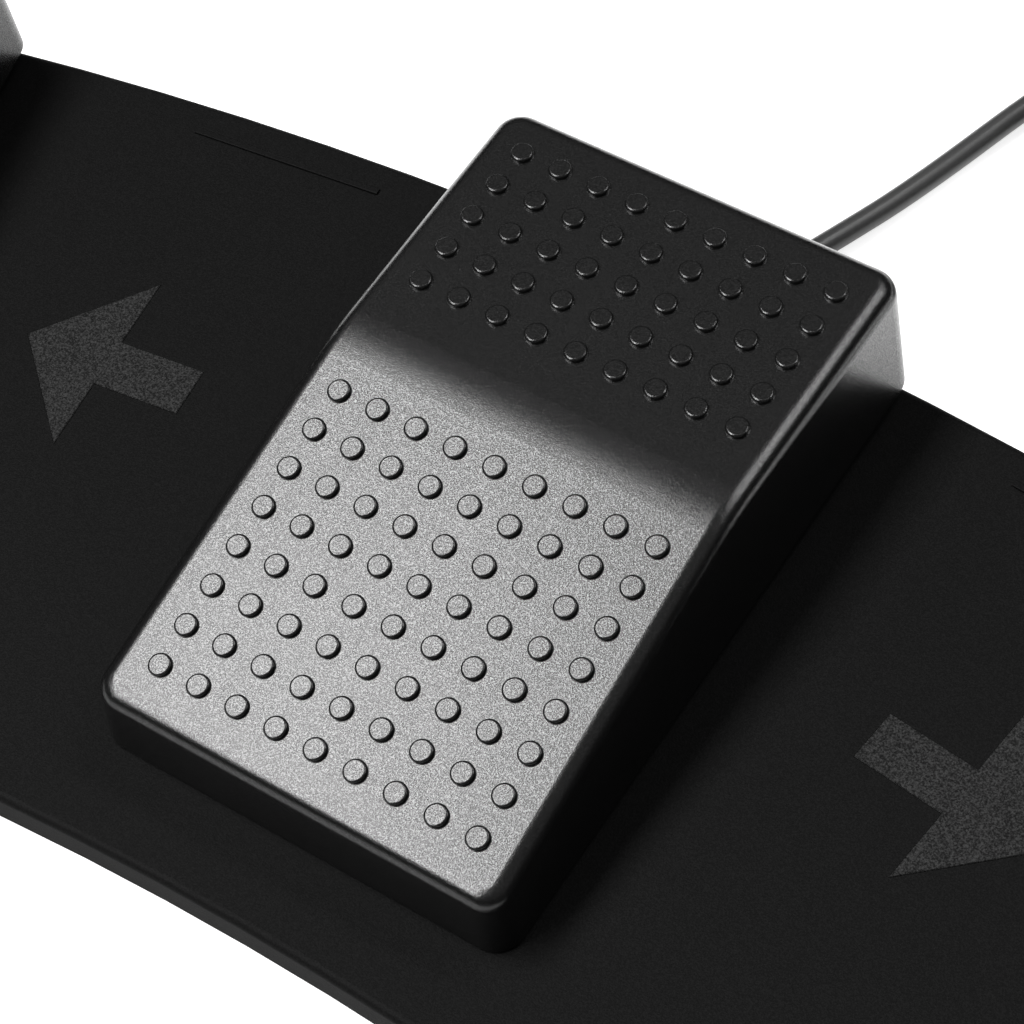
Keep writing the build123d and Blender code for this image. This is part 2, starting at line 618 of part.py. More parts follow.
def return_spring():
    """Compression spring with a closed turn at each end."""
    radius = (SPRING_DIAMETER - SPRING_WIRE) / 2
    low = TRAY_FLOOR + SPRING_WIRE / 2 + SPRING_SEAT_GAP
    high = REAR_CEILING - SPRING_WIRE / 2 - SPRING_SEAT_GAP
    end_rise = SPRING_WIRE * 1.5
    quarters = 4 * SPRING_TURNS
    rise = (high - low - 2 * end_rise) / quarters
    heights = [low + end_rise * step / 4 for step in range(4)]
    heights += [low + end_rise + rise * step for step in range(quarters + 1)]
    heights += [high - end_rise + end_rise * (step + 1) / 4 for step in range(4)]
    radii = [radius] * len(heights)
    edges, points, ways = winding(radii, heights, 0, 1)
    spring = tube(edges, SPRING_WIRE)
    return Pos(0, SPRING_Y, 0) * spring, edges


def corner_radii(route):
    """Each arc of a lead's tube: as large as its two runs allow."""
    radii = []
    for before, here, after in zip(route, route[1:], route[2:]):
        arriving = Vector(*here) - Vector(*before)
        leaving = Vector(*after) - Vector(*here)
        shorter = min(arriving.length, leaving.length)
        half_turn = math.radians(arriving.get_angle(leaving)) / 2
        radii.append(ARC_RUN_SHARE * shorter / math.tan(half_turn))
    return radii


def lead_tube(name, route, diameter):
    """A tube along a route of straight runs and tangent arcs; prints its radii and volume."""
    radii = corner_radii(route)
    path = FilletPolyline(*route, radius=radii)
    shape = tube(path.edges(), diameter)
    expected = math.pi * diameter ** 2 / 4 * path.length
    shown = " ".join(f"{radius:.1f}" for radius in radii)
    print(f"{name}: length {path.length:.1f}, radii {shown}, volume ratio {shape.volume / expected:.4f}")
    return shape


def straight_lead(x, from_y, to_y):
    """A short straight inner lead along Y."""
    rod = Cylinder(LEAD_DIAMETER / 2, to_y - from_y, align=(Align.CENTER, Align.CENTER, Align.MIN))
    return Pos(x, to_y, LEAD_Z) * Rot(90, 0, 0) * rod


def shifted(start, offsets):
    """A route: the start, then each point as an offset from the start."""
    return [start] + [tuple(a + b for a, b in zip(start, offset)) for offset in offsets]


# Base

def arch_face():
    """The base's outline in plan."""
    low = 90 - ARCH_HALF_ANGLE
    sweep_angle = 2 * ARCH_HALF_ANGLE
    outer = CenterArc((0, ARCH_Y), ARCH_REAR_RADIUS, low, sweep_angle)
    inner = CenterArc((0, ARCH_Y), ARCH_FRONT_RADIUS, low, sweep_angle)
    right = Line(outer @ 0, inner @ 0)
    left = Line(outer @ 1, inner @ 1)
    face = make_face([outer, inner, right, left])
    return fillet(face.vertices(), BASE_CORNER_RADIUS)


def base_screw_places():
    """Angle and radius of each screw that joins plate and shell."""
    end = ARCH_HALF_ANGLE - math.degrees(BASE_SCREW_END_INSET / PEDAL_MIDDLE_RADIUS)
    places = []
    for angle in (-end, -PEDAL_ANGLE / 2, PEDAL_ANGLE / 2, end):
        for radius in (ARCH_FRONT_RADIUS + BASE_SCREW_INSET, ARCH_REAR_RADIUS - BASE_SCREW_INSET):
            places.append((angle, radius))
    return places


def arrow(points_to, grow):
    """A block arrow in plan, about its own middle; points_to is -1 for left, 1 for right."""
    half_width = MARK_WIDTH / 2
    half_height = MARK_HEIGHT / 2
    half_stroke = MARK_STROKE / 2
    outline = Polyline(
        (points_to * half_width, 0),
        (0, half_height),
        (0, half_stroke),
        (-points_to * half_width, half_stroke),
        (-points_to * half_width, -half_stroke),
        (0, -half_stroke),
        (0, -half_height),
        close=True,
    )
    face = make_face(outline)
    return offset(face, amount=grow, kind=Kind.INTERSECTION) if grow else face


def base_top_shell():
    """The arched top: walls, ribs, screw bosses, windows, mark recesses and the two low bars."""
    face = arch_face()
    shell = extrude(Pos(0, 0, FOOT_HEIGHT) * face, amount=BASE_HEIGHT, dir=(0, 0, 1))
    top_rim = shell.faces().sort_by(Axis.Z)[-1].edges()
    shell = fillet(top_rim, BASE_EDGE_RADIUS)
    pocket_face = offset(face, amount=-BASE_WALL)
    pocket_height = BASE_HEIGHT - BASE_WALL
    pocket = extrude(Pos(0, 0, FOOT_HEIGHT) * pocket_face, amount=pocket_height, dir=(0, 0, 1))
    shell -= pocket
    inner_length = ARCH_REAR_RADIUS - ARCH_FRONT_RADIUS - BASE_WALL
    middle_radius = (ARCH_REAR_RADIUS + ARCH_FRONT_RADIUS) / 2
    for angle in (-PEDAL_ANGLE / 2, PEDAL_ANGLE / 2):
        for side in (-1, 1):
            rib = block(RIB_WIDTH, inner_length, RIB_DROP + BASE_WALL / 2)
            rib_angle = angle + side * RIB_ANGLE / 2
            shell += on_arch(rib_angle, middle_radius, BASE_CEILING - RIB_DROP) * rib
    for angle, radius in base_screw_places():
        boss_height = BASE_CEILING - PLATE_TOP + BASE_WALL / 2
        shell += on_arch(angle, radius, PLATE_TOP) * post(BASE_BOSS_RADIUS, boss_height)
        pilot = SCREW_DIAMETER / 2 + SCREW_SEAT_GAP
        pilot_depth = BASE_CEILING - PLATE_TOP + OVERRUN
        shell -= on_arch(angle, radius, PLATE_TOP - OVERRUN) * post(pilot, pilot_depth)
    for angle in (-PEDAL_ANGLE, 0, PEDAL_ANGLE):
        place = on_arch(angle, PEDAL_RADIUS, BASE_CEILING - OVERRUN)
        window = block(WINDOW_WIDTH, WINDOW_LENGTH, BASE_WALL + 2 * OVERRUN, 0, SWITCH_Y)
        shell -= place * window
        for x in (-TRAY_BOSS_X, TRAY_BOSS_X):
            for y in (TRAY_BOSS_FRONT, TRAY_BOSS_REAR):
                hole = SCREW_DIAMETER / 2 + SCREW_HOLE_GAP
                shell -= place * post(hole, BASE_WALL + 2 * OVERRUN, x, y)
    for points_to in (-1, 1):
        angle = points_to * PEDAL_ANGLE / 2
        recess = extrude(arrow(points_to, MARK_CLEARANCE), amount=MARK_DEPTH + OVERRUN, dir=(0, 0, 1))
        shell -= on_arch(angle, PEDAL_RADIUS + MARK_FROM_FRONT, BASE_TOP - MARK_DEPTH) * recess
        bar = block(BAR_LENGTH, BAR_WIDTH, BAR_HEIGHT + BASE_WALL / 2)
        bar = fillet(bar.edges().filter_by(Axis.X).sort_by(Axis.Z)[-2:], BAR_HEIGHT / 2)
        bar_radius = ARCH_REAR_RADIUS - BAR_REAR_INSET
        bar_angle = angle - points_to * math.degrees(BAR_SHIFT / bar_radius)
        shell += on_arch(bar_angle, bar_radius, BASE_TOP - BASE_WALL / 2) * bar
    channel = CABLE_DIAMETER / 2 + SCREW_HOLE_GAP
    channel_z = FOOT_HEIGHT + PLATE_THICKNESS
    channel_height = CABLE_EXIT_HEIGHT + channel + SCREW_HOLE_GAP - channel_z
    channel_length = RELIEF_FLANGE_DEPTH + BASE_WALL
    flange_slot = block(
        RELIEF_FLANGE_WIDTH + 2 * SCREW_HOLE_GAP,
        channel_length,
        channel_height,
        CABLE_EXIT_X,
        REAR_WALL_Y - BASE_WALL - channel_length / 2,
        channel_z,
    )
    shell -= flange_slot
    bore = RELIEF_NECK_DIAMETER / 2 + SCREW_SEAT_GAP
    hole = Pos(CABLE_EXIT_X, REAR_WALL_Y, CABLE_EXIT_HEIGHT) * Rot(90, 0, 0) * Cylinder(bore, 3 * BASE_WALL)
    return shell - hole


def base_bottom_plate():
    """The plate that closes the base, with countersunk screw holes and the board's posts."""
    face = offset(arch_face(), amount=-(BASE_WALL + PLATE_CLEARANCE))
    plate = extrude(Pos(0, 0, FOOT_HEIGHT) * face, amount=PLATE_THICKNESS, dir=(0, 0, 1))
    for angle, radius in base_screw_places():
        place = on_arch(angle, radius, FOOT_HEIGHT - OVERRUN)
        plate -= place * post(SCREW_DIAMETER / 2 + SCREW_HOLE_GAP, PLATE_THICKNESS + 2 * OVERRUN)
        head = SCREW_HEAD_DIAMETER / 2 + SCREW_HOLE_GAP
        plate -= place * post(head, PLATE_THICKNESS / 2 + OVERRUN)
    for x, y in board_screw_places():
        post_z = PLATE_TOP - PLATE_THICKNESS / 2
        post_height = BOARD_LIFT + PLATE_THICKNESS / 2
        plate += post(BOARD_POST_RADIUS, post_height, x, y, post_z)
        plate -= post(SWITCH_SCREW_DIAMETER / 2 + SCREW_SEAT_GAP, post_height, x, y, post_z)
    return plate


def base_screws():
    """Screws from below through the plate into the shell's bosses."""
    reach = PLATE_THICKNESS / 2 + BASE_CEILING - PLATE_TOP - SCREW_END_GAP
    head_height = PLATE_THICKNESS / 2 - SCREW_SEAT_GAP
    one = screw(SCREW_DIAMETER, reach, SCREW_HEAD_DIAMETER, head_height)
    group = []
    for angle, radius in base_screw_places():
        group.append(on_arch(angle, radius, FOOT_HEIGHT) * one)
    return Compound(children=group)


def rubber_feet():
    """Round feet below the plate: a front and a rear one at each of four angles."""
    foot = post(FOOT_DIAMETER / 2, FOOT_HEIGHT)
    foot = fillet(foot.edges().sort_by(Axis.Z)[0], FOOT_HEIGHT / 3)
    end = ARCH_HALF_ANGLE - math.degrees((FOOT_EDGE_INSET + FOOT_DIAMETER) / PEDAL_MIDDLE_RADIUS)
    group = []
    for angle in (-end, -PEDAL_ANGLE / 4, PEDAL_ANGLE / 4, end):
        for radius in (ARCH_FRONT_RADIUS + FOOT_EDGE_INSET, ARCH_REAR_RADIUS - FOOT_EDGE_INSET):
            group.append(on_arch(angle, radius) * foot)
    return Compound(children=group)


def direction_mark(points_to):
    """A textured arrow set in the base between two pedals."""
    solid = extrude(arrow(points_to, 0), amount=MARK_DEPTH + MARK_PROUD, dir=(0, 0, 1))
    solid = chamfer(solid.faces().sort_by(Axis.Z)[-1].edges(), MARK_EDGE)
    angle = points_to * PEDAL_ANGLE / 2
    return on_arch(angle, PEDAL_RADIUS + MARK_FROM_FRONT, BASE_TOP - MARK_DEPTH) * solid


# Controller board

def board_screw_places():
    """Where the board is screwed to the plate's posts."""
    x = BOARD_WIDTH / 2 - BOARD_SCREW_INSET
    y = BOARD_LENGTH / 2 - BOARD_SCREW_INSET
    return [(-x, BOARD_Y - y), (x, BOARD_Y - y), (-x, BOARD_Y + y), (x, BOARD_Y + y)]


def controller_board():
    """The circuit board."""
    board = block(BOARD_WIDTH, BOARD_LENGTH, BOARD_THICKNESS, 0, BOARD_Y, BOARD_Z)
    for x, y in board_screw_places():
        hole = SWITCH_SCREW_DIAMETER / 2 + SCREW_HOLE_GAP
        board -= post(hole, BOARD_THICKNESS + 2 * OVERRUN, x, y, BOARD_Z - OVERRUN)
    return board


def board_chips():
    """The controller, a crystal and two small parts on the board."""
    top = BOARD_Z + BOARD_THICKNESS
    shift = CHIP_SIZE + SMALL_CHIP_LENGTH / 2
    return Compound(children=[
        block(CHIP_SIZE, CHIP_SIZE, CHIP_HEIGHT, 0, BOARD_Y, top),
        block(SMALL_CHIP_LENGTH, SMALL_CHIP_WIDTH, CHIP_HEIGHT, shift, BOARD_Y, top),
        block(SMALL_CHIP_LENGTH, SMALL_CHIP_WIDTH, CHIP_HEIGHT, -shift, BOARD_Y - SMALL_CHIP_LENGTH, top),
        block(SMALL_CHIP_WIDTH, SMALL_CHIP_LENGTH, CHIP_HEIGHT, -shift, BOARD_Y + SMALL_CHIP_LENGTH, top),
    ])


def board_headers():
    """Four connectors at the board's edges, for the three switches and the USB lead."""
    side_x = BOARD_WIDTH / 2 + HEADER_DEPTH / 2
    z = PLATE_TOP + LEAD_LIFT
    return Compound(children=[
        block(HEADER_DEPTH, HEADER_WIDTH, HEADER_HEIGHT, -side_x, BOARD_Y, z),
        block(HEADER_DEPTH, HEADER_WIDTH, HEADER_HEIGHT, side_x, BOARD_Y, z),
        block(HEADER_WIDTH, HEADER_DEPTH, HEADER_HEIGHT, 0, BOARD_FRONT_Y - HEADER_DEPTH / 2, z),
        block(HEADER_WIDTH, HEADER_DEPTH, HEADER_HEIGHT, CABLE_EXIT_X, BOARD_REAR_Y + HEADER_DEPTH / 2, z),
    ])


def board_screws():
    """Four small screws that hold the board."""
    length = BOARD_THICKNESS + BOARD_LIFT
    one = screw(SWITCH_SCREW_DIAMETER, length, 2 * SWITCH_SCREW_DIAMETER, CHIP_HEIGHT)
    top = BOARD_Z + BOARD_THICKNESS + CHIP_HEIGHT + SCREW_SEAT_GAP
    group = [Pos(x, y, top) * Rot(180, 0, 0) * one for x, y in board_screw_places()]
    return Compound(children=group)


def arch_point(angle, radius, z):
    """The coordinates of a place on the arch."""
    turn = math.radians(angle)
    return (radius * math.sin(turn), ARCH_Y + radius * math.cos(turn), z)


# USB lead

def strain_relief():
    """Relief with an inner flange, a neck through the rear wall, a collar and a tapered tail."""
    x, tip_y, z = RELIEF_TIP
    wall_out = REAR_WALL_Y
    place = Pos(x, wall_out, z) * Rot(-90, 0, 0)
    neck_length = BASE_WALL + RELIEF_COLLAR
    neck = Pos(0, 0, -BASE_WALL) * post(RELIEF_NECK_DIAMETER / 2, neck_length)
    collar = post(RELIEF_COLLAR_DIAMETER / 2, RELIEF_COLLAR, z=SCREW_SEAT_GAP)
    collar = fillet(collar.edges().sort_by(Axis.Z)[-1], RELIEF_COLLAR / 3)
    tail_length = RELIEF_LENGTH - RELIEF_COLLAR
    tail = Cone(
        RELIEF_ROOT_DIAMETER / 2,
        RELIEF_TIP_DIAMETER / 2,
        tail_length,
        align=(Align.CENTER, Align.CENTER, Align.MIN),
    )
    tail = Pos(0, 0, RELIEF_COLLAR) * tail
    groove = RELIEF_TIP_DIAMETER - CABLE_DIAMETER
    for step in range(1, 4):
        groove_z = RELIEF_COLLAR + tail_length * step / 5
        cutter = post(RELIEF_ROOT_DIAMETER, tail_length / 12, z=groove_z)
        cutter -= post(RELIEF_TIP_DIAMETER / 2 - groove / 4, tail_length, z=groove_z - tail_length / 2)
        tail -= cutter
    relief = place * (neck + collar + tail)
    flange_y = wall_out - BASE_WALL - RELIEF_FLANGE_DEPTH / 2
    flange_z = CABLE_EXIT_HEIGHT - RELIEF_FLANGE_HEIGHT / 2 + SCREW_HOLE_GAP
    flange = block(RELIEF_FLANGE_WIDTH, RELIEF_FLANGE_DEPTH, RELIEF_FLANGE_HEIGHT, x, flange_y, flange_z)
    return relief + flange


def coil_shape():
    """The put-away coil: radii and heights a quarter turn apart, then the tube."""
    outer = COIL_INNER_RADIUS + COIL_STEP * COIL_QUARTERS[0] / 4
    radii = [outer]
    heights = [COIL_FLOOR_Z]
    for layer, quarters in enumerate(COIL_QUARTERS):
        inward = -1 if layer % 2 == 0 else 1
        if layer > 0:
            for quarter in range(COIL_CLIMB_QUARTERS):
                radii.append(radii[-1])
                heights.append(heights[-1] + COIL_STEP / COIL_CLIMB_QUARTERS)
        for quarter in range(quarters):
            radii.append(radii[-1] + inward * COIL_STEP / 4)
            heights.append(heights[-1])
    edges, points, ways = winding(radii, heights, COIL_ENTRY_ANGLE, -1)
    level_in = Vector(ways[0].X, ways[0].Y, 0).normalized()
    level_out = Vector(ways[-1].X, ways[-1].Y, 0).normalized()
    entry = points[0] - level_in * CABLE_DIAMETER
    leave = points[-1] + level_out * CABLE_DIAMETER
    edges = [Line(entry, points[0])] + edges + [Line(points[-1], leave)]
    return edges, entry, level_in, leave, level_out


def coil_tie():
    """A closed strap round all layers of the coil, in a radial plane, its lower side on the floor."""
    outer_radius = COIL_INNER_RADIUS + COIL_STEP * COIL_QUARTERS[0] / 4 + CABLE_DIAMETER / 2 + TIE_SIDE_GAP
    inner_radius = COIL_INNER_RADIUS - CABLE_DIAMETER / 2 - TIE_SIDE_GAP
    layers = len(COIL_QUARTERS)
    span = outer_radius - inner_radius
    rise = COIL_STEP * (layers - 1) + CABLE_DIAMETER + 2 * TIE_SEAT_GAP
    middle = (outer_radius + inner_radius) / 2
    strap = block(span + 2 * TIE_THICKNESS, TIE_WIDTH, rise + 2 * TIE_THICKNESS, middle, 0, FLOOR_GAP)
    strap = fillet(strap.edges().filter_by(Axis.Y), CABLE_DIAMETER / 3 + TIE_THICKNESS)
    hollow = block(span, 3 * TIE_WIDTH, rise, middle, 0, FLOOR_GAP + TIE_THICKNESS)
    hollow = fillet(hollow.edges().filter_by(Axis.Y), CABLE_DIAMETER / 3)
    return Rot(0, 0, TIE_ANGLE) * (strap - hollow)


def usb_plug():
    """Overmould, shell, tongue and contacts about an axis along +Z, the cable's end at Z = 0."""
    tail = Cone(
        RELIEF_TIP_DIAMETER / 2,
        RELIEF_ROOT_DIAMETER / 2,
        PLUG_TAIL_LENGTH + OVERRUN,
        align=(Align.CENTER, Align.CENTER, Align.MIN),
    )
    body = block(PLUG_WIDTH, PLUG_HEIGHT, PLUG_LENGTH, z=PLUG_TAIL_LENGTH)
    body = fillet(body.edges().filter_by(Axis.Z), PLUG_EDGE_RADIUS * 1.5)
    ends = body.faces().sort_by(Axis.Z)[0].edges() + body.faces().sort_by(Axis.Z)[-1].edges()
    body = fillet(ends, PLUG_EDGE_RADIUS / 2)
    mouth = PLUG_TAIL_LENGTH + PLUG_LENGTH
    seat = block(SHELL_WIDTH, SHELL_HEIGHT, SHELL_SEAT + OVERRUN, z=mouth - SHELL_SEAT)
    overmould = tail + body - seat
    full = SHELL_LENGTH + SHELL_SEAT
    shell = block(SHELL_WIDTH, SHELL_HEIGHT, full, z=mouth - SHELL_SEAT)
    hollow = block(
        SHELL_WIDTH - 2 * SHELL_WALL,
        SHELL_HEIGHT - 2 * SHELL_WALL,
        full,
        z=mouth - SHELL_SEAT + SHELL_WALL,
    )
    shell -= hollow
    tongue_width = SHELL_WIDTH - 2 * SHELL_WALL - 2 * TONGUE_GAP
    tongue_y = -(SHELL_HEIGHT / 2 - SHELL_WALL - TONGUE_HEIGHT / 2)
    tongue_z = mouth - SHELL_SEAT + SHELL_WALL
    tongue_length = full - 2 * SHELL_WALL
    tongue = block(tongue_width, TONGUE_HEIGHT, tongue_length, 0, tongue_y, tongue_z)
    contacts = []
    for number in range(CONTACT_COUNT):
        x = (number - (CONTACT_COUNT - 1) / 2) * CONTACT_PITCH
        y = tongue_y + TONGUE_HEIGHT / 2 + CONTACT_THICKNESS / 2
        length = tongue_length - 2 * CONTACT_WIDTH
        contacts.append(block(CONTACT_WIDTH, CONTACT_THICKNESS, length, x, y, tongue_z))
    return overmould, shell, tongue, Compound(children=contacts)


# Put the base together

build("base_top_shell", base_top_shell())
build("base_bottom_plate", base_bottom_plate())
build("base_screws", base_screws())
build("rubber_feet", rubber_feet())
build("left_direction_mark", direction_mark(-1))
build("right_direction_mark", direction_mark(1))
build("controller_board", controller_board())
build("board_chips", board_chips())
build("board_headers", board_headers())
build("board_screws", board_screws())

# Put each pedal on the base

spring, spring_edges = return_spring()
spring_gap = least_self_gap(spring_edges, SPRING_WIRE, SPRING_WIRE / 2)
print(f"return spring: least gap to itself {spring_gap:.2f}")
pedal_pieces = {
    "pedal_cover": pedal_cover(),
    "pedal_tray": pedal_tray(),
    "hinge_pin": hinge_pin(),
    "return_spring": spring,
    "micro_switch": micro_switch(),
    "switch_plunger": switch_plunger(),
    "switch_screws": switch_screws(),
    "switch_terminals": switch_terminals(),
    "stop_pads": stop_pads(),
    "tray_screws": tray_screws(),
}
for side_name, angle in (("left", -PEDAL_ANGLE), ("middle", 0.0), ("right", PEDAL_ANGLE)):
    for piece_name, piece in pedal_pieces.items():
        build(f"{side_name}_{piece_name}", on_arch(angle, PEDAL_RADIUS, BASE_TOP) * piece)
    hinge = on_arch(angle, PEDAL_RADIUS, BASE_TOP) * Pos(0, HINGE_Y, HINGE_Z)
    spot = hinge.position
    print(f"{side_name} hinge at {spot.X:.4f} {spot.Y:.4f} {spot.Z:.4f}, pedal turned {-angle:.4f}")

# Inner leads

blade_radius = PEDAL_RADIUS + SWITCH_Y
board_radius = PEDAL_RADIUS + BOARD_FROM_FRONT
for side_name, side in (("left", -1), ("right", 1)):
    route = []
    for angle_share, radius_share in LEAD_ROUTE_SHARES:
        radius = blade_radius + (board_radius - blade_radius) * radius_share
        route.append(arch_point(side * PEDAL_ANGLE * angle_share, radius, LEAD_Z))
    header_x = side * (BOARD_WIDTH / 2 + HEADER_DEPTH)
    route.append((header_x + side * LEAD_END_RUN, BOARD_Y, LEAD_Z))
    route.append((header_x, BOARD_Y, LEAD_Z))
    build(f"{side_name}_switch_lead", lead_tube(f"{side_name}_switch_lead", route, LEAD_DIAMETER))

build("middle_switch_lead", straight_lead(0, MIDDLE_FRONT_Y + SWITCH_Y, BOARD_FRONT_Y - HEADER_DEPTH))

# Strain relief, cable, coil and plug

build("strain_relief", strain_relief())
build("usb_board_lead", straight_lead(CABLE_EXIT_X, BOARD_REAR_Y + HEADER_DEPTH, INNER_START_Y))

coil_edges, entry, way_in, leave, way_out = coil_shape()
coil_gap = least_self_gap(coil_edges, CABLE_DIAMETER, CABLE_DIAMETER / 3)
coil_length = sum(edge.length for edge in coil_edges)
print(f"usb_cable_coil: length {coil_length:.1f}, least gap to itself {coil_gap:.2f}")
coil_x, coil_y = COIL_CENTRE_FROM_TIP
coil_centre = Vector(RELIEF_TIP[0] + coil_x, RELIEF_TIP[1] + coil_y, 0)
coil = tube(coil_edges, CABLE_DIAMETER)
coil_expected = math.pi * CABLE_DIAMETER ** 2 / 4 * coil_length
print(f"usb_cable_coil: volume ratio {coil.volume / coil_expected:.4f}")
build("usb_cable_coil", Pos(coil_centre) * coil)
build("coil_tie", Pos(coil_centre) * coil_tie())

coil_start = coil_centre + entry
coil_end = coil_centre + leave
cable_route = shifted(RELIEF_TIP, [(0.0, 8.3, 0.0), (3.0, 16.3, -0.9), (9.3, 33.2, -2.0)])
cable_route += [tuple(coil_start - way_in * COIL_ENTRY_RUN), tuple(coil_start)]
build("usb_cable", lead_tube("usb_cable", cable_route, CABLE_DIAMETER))

tail_offsets = [(91.1, 70.2, 10.6), (97.1, 60.2, 4.8), (99.6, 47.7, 0.05), (99.6, 38.7, 0.05)]
tail_route = [tuple(coil_end), tuple(coil_end + way_out * COIL_EXIT_RUN)]
tail_route += shifted(RELIEF_TIP, tail_offsets)[1:]
build("usb_cable_tail", lead_tube("usb_cable_tail", tail_route, CABLE_DIAMETER))

plug_place = Pos(*tail_route[-1]) * Rot(90, 0, 0)
plug_names = ("usb_plug_overmould", "usb_plug_shell", "usb_plug_tongue", "usb_plug_contacts")
for name, piece in zip(plug_names, usb_plug()):
    build(name, plug_place * piece)

for name, shape in nodes.items():
    export_step(shape, f"parts/{name}.step")
print(f"{len(nodes)} nodes; base span {2 * ARCH_REAR_RADIUS * math.sin(math.radians(ARCH_HALF_ANGLE)):.1f}")
print(f"arch centre y {ARCH_Y:.4f}, pedal angle {PEDAL_ANGLE:.4f}, plunger travel {PLUNGER_TRAVEL:.4f}")
print(f"relief tip {RELIEF_TIP}")
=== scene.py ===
import math

import bpy
from mathutils import Matrix, Vector


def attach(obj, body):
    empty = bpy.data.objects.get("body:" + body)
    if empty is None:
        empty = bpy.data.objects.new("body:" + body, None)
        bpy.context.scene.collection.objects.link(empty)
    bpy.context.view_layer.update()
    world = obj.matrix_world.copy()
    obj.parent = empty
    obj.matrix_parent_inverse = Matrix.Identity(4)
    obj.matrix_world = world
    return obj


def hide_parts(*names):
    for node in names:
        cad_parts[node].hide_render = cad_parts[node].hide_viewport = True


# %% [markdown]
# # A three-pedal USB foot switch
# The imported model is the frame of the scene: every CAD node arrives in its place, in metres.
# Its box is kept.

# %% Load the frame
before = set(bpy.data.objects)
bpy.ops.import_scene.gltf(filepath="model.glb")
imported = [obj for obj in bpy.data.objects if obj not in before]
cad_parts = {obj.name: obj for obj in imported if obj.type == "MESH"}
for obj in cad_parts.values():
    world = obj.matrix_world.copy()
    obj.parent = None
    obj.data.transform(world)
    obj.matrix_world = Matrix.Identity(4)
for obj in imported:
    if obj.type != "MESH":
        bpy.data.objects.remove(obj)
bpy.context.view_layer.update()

# %% [markdown]
# ## The camera
# It looks down at the middle pedal from the right and in front, a little turned about its own axis.
# Its place and its lens were fitted to the grid of grip dots in the picture.

# %% Set up the camera
CAMERA_PLACE = Vector((0.181483, -0.170979, 0.411060))
CAMERA_RIGHT = Vector((0.827828, 0.549578, -0.112534))
CAMERA_UP = Vector((-0.409895, 0.729534, 0.547509))
CAMERA_BACK = Vector((0.382997, -0.407117, 0.829198))
LENS = 111.448
SENSOR = 36.0

camera_data = bpy.data.cameras.new("picture_camera")
camera_data.sensor_fit = "HORIZONTAL"
camera_data.sensor_width = SENSOR
camera_data.lens = LENS
camera_data.clip_start = 0.01
camera = bpy.data.objects.new("picture_camera", camera_data)
bpy.context.scene.collection.objects.link(camera)
turn = Matrix((CAMERA_RIGHT, CAMERA_UP, CAMERA_BACK)).transposed().to_4x4()
camera.matrix_world = Matrix.Translation(CAMERA_PLACE) @ turn
bpy.context.scene.camera = camera
bpy.context.scene.view_settings.view_transform = "Standard"
print("camera at", tuple(round(v, 3) for v in camera.matrix_world.translation))

# %% [markdown]
# ## The USB lead
# One cord runs from the strain relief at the rear wall over the floor into its put-away coil,
# and out of it to the plug.
# The coil is wound in four flat layers that spiral in and out, with short climbs between them.
# The route is written in millimetres, and its ends as steps from the tip of the strain relief.
# The points carry the lead's radius and the bevel is one metre,
# because a curve's box reaches as far beyond its points as their radius.

# %% Lay the cord
MM = 0.001
CORD_DIAMETER = 0.0039
RELIEF_TIP = Vector((6.4, 82.18764, 4.0))
COIL_CENTRE = RELIEF_TIP + Vector((53.6, 63.7, -4.0))
COIL_FLOOR_Z = 2.8
COIL_INNER_RADIUS = 17.4
COIL_STEP = 4.9
COIL_ENTRY_ANGLE = 150.0
COIL_QUARTERS = (10, 10, 10, 9)
COIL_CLIMB_QUARTERS = 2
POINTS_PER_QUARTER = 4
EXIT_STEPS = ((0, 8.3, 0), (3.0, 16.3, -0.9), (9.3, 33.2, -2.0))
ENTRY_RUNS = (-17.9, -3.9)
LEAVING_RUNS = (3.9, 15.9)
TAIL_STEPS = ((91.1, 70.2, 10.6), (97.1, 60.2, 4.8), (99.6, 47.7, 0.05), (99.6, 38.7, 0.05))


def coil_stations():
    """The radius and height of the coil at each quarter turn."""
    stations = [(COIL_INNER_RADIUS + COIL_STEP * COIL_QUARTERS[0] / 4, COIL_FLOOR_Z)]
    for layer, quarters in enumerate(COIL_QUARTERS):
        inward = -1 if layer % 2 == 0 else 1
        if layer > 0:
            for _ in range(COIL_CLIMB_QUARTERS):
                radius, height = stations[-1]
                stations.append((radius, height + COIL_STEP / COIL_CLIMB_QUARTERS))
        for _ in range(quarters):
            radius, height = stations[-1]
            stations.append((radius + inward * COIL_STEP / 4, height))
    return stations


def coil_points():
    """Control points of the coil, several to each quarter turn, wound clockwise from above."""
    stations = coil_stations()
    points = []
    for index in range((len(stations) - 1) * POINTS_PER_QUARTER + 1):
        quarter, part = divmod(index, POINTS_PER_QUARTER)
        share = part / POINTS_PER_QUARTER
        here = stations[quarter]
        there = stations[min(quarter + 1, len(stations) - 1)]
        radius = here[0] + (there[0] - here[0]) * share
        height = here[1] + (there[1] - here[1]) * share
        angle = math.radians(COIL_ENTRY_ANGLE - 90 * index / POINTS_PER_QUARTER)
        points.append(COIL_CENTRE + Vector((radius * math.cos(angle), radius * math.sin(angle), height)))
    return points


def beside_coil(angle, radius, along, height):
    """A point on the coil's tangent at an angle, a distance along it, clockwise being forward."""
    turn = math.radians(angle)
    place = Vector((radius * math.cos(turn), radius * math.sin(turn), height))
    forward = Vector((math.sin(turn), -math.cos(turn), 0))
    return COIL_CENTRE + place + forward * along


